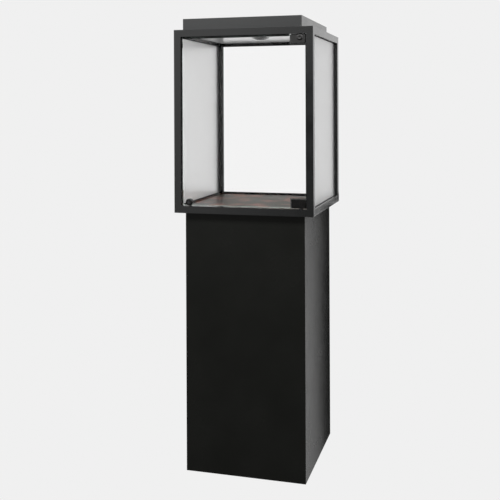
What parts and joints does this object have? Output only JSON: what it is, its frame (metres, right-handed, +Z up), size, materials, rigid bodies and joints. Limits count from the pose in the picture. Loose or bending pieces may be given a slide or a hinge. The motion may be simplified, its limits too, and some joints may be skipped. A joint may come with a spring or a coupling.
{
  "type": "pedestal display case",
  "caption": "Glazed square showcase with a lit hood and a lockable pivot-hung glass door, standing on a closed laminate column.",
  "frame": {"origin": "on the floor, in the middle of the glazed case's square outline", "axes": "+Z up; the glass door faces -Y and is hinged on the +X side; the lock is at -X"},
  "size_m": [0.5, 0.5, 1.6],
  "materials": {
    "frame_black": "black satin powder coat on aluminium profile",
    "hood_black": "black satin powder coat on sheet",
    "black_laminate": "black satin laminate on board",
    "board": "bare particle board and timber",
    "deck_gloss": "dark high-gloss panel",
    "ceiling_white": "white gloss panel",
    "clear_glass": "clear tempered glass",
    "rubber_black": "black rubber",
    "black_plastic": "black matte plastic",
    "cap_black": "black satin plastic, matched to the frame",
    "white_plastic": "white matte plastic",
    "steel": "zinc-plated steel",
    "dark_steel": "blackened steel",
    "black_hardware": "black lacquered die casting",
    "bezel_grey": "dark grey lacquered aluminium",
    "cast_alu": "cast aluminium",
    "lens_white": "opal plastic",
    "clear_pad": "clear soft plastic"
  },
  "bodies": {
    "case": {"floor_glides": "black_plastic", "pedestal_base": "board", "pedestal_top": "board", "pedestal_front": "black_laminate", "pedestal_rear": "black_laminate", "pedestal_left": "black_laminate", "pedestal_right": "black_laminate", "corner_battens": "board", "batten_screws": "steel", "power_inlet": "black_plastic", "inlet_screws": "steel", "case_bolts": "steel", "case_base": "board", "deck": "deck_gloss", "post_front_left": "frame_black", "post_front_right": "frame_black", "post_rear_left": "frame_black", "post_rear_right": "frame_black", "post_caps": "cap_black", "rail_lower_front": "frame_black", "rail_lower_rear": "frame_black", "rail_lower_left": "frame_black", "rail_lower_right": "frame_black", "rail_upper_front": "frame_black", "rail_upper_rear": "frame_black", "rail_upper_left": "frame_black", "rail_upper_right": "frame_black", "rail_plugs": "black_plastic", "tie_screws": "steel", "pane_left": "clear_glass", "pane_right": "clear_glass", "pane_rear": "clear_glass", "pane_gaskets": "rubber_black", "roof_board": "board", "ceiling": "ceiling_white", "hood": "hood_black", "hood_cleats": "board", "hood_screws": "steel", "downlight_bezel": "bezel_grey", "downlight_lens": "lens_white", "downlight_body": "cast_alu", "led_driver": "white_plastic", "supply_lead": "black_plastic", "lamp_lead": "white_plastic", "door_stop": "rubber_black", "pivot_bushes": "black_plastic", "lock_keeper": "dark_steel"},
    "door": {"door_glass": "clear_glass", "hinge_bodies": "black_hardware", "hinge_back_plates": "black_hardware", "hinge_pads": "clear_pad", "hinge_pins": "steel", "hinge_screws": "dark_steel", "hinge_adjuster": "black_hardware", "lock_body": "black_hardware", "lock_pad": "clear_pad", "lock_nut": "black_hardware"},
    "lock_plug": {"lock_plug": "dark_steel", "lock_cam": "dark_steel", "cam_screw": "steel"}
  },
  "joints": [
    {"name": "door_hinge", "type": "hinge", "parent": "case", "child": "door", "pos_m": [0.203, -0.235, 1.2375], "axis": [0, 0, 1], "range_deg": [0, 110]},
    {"name": "lock_turn", "type": "hinge", "parent": "door", "child": "lock_plug", "pos_m": [-0.197, -0.231, 0.9536], "axis": [0, -1, 0], "range_deg": [0, 90]}
  ]
}
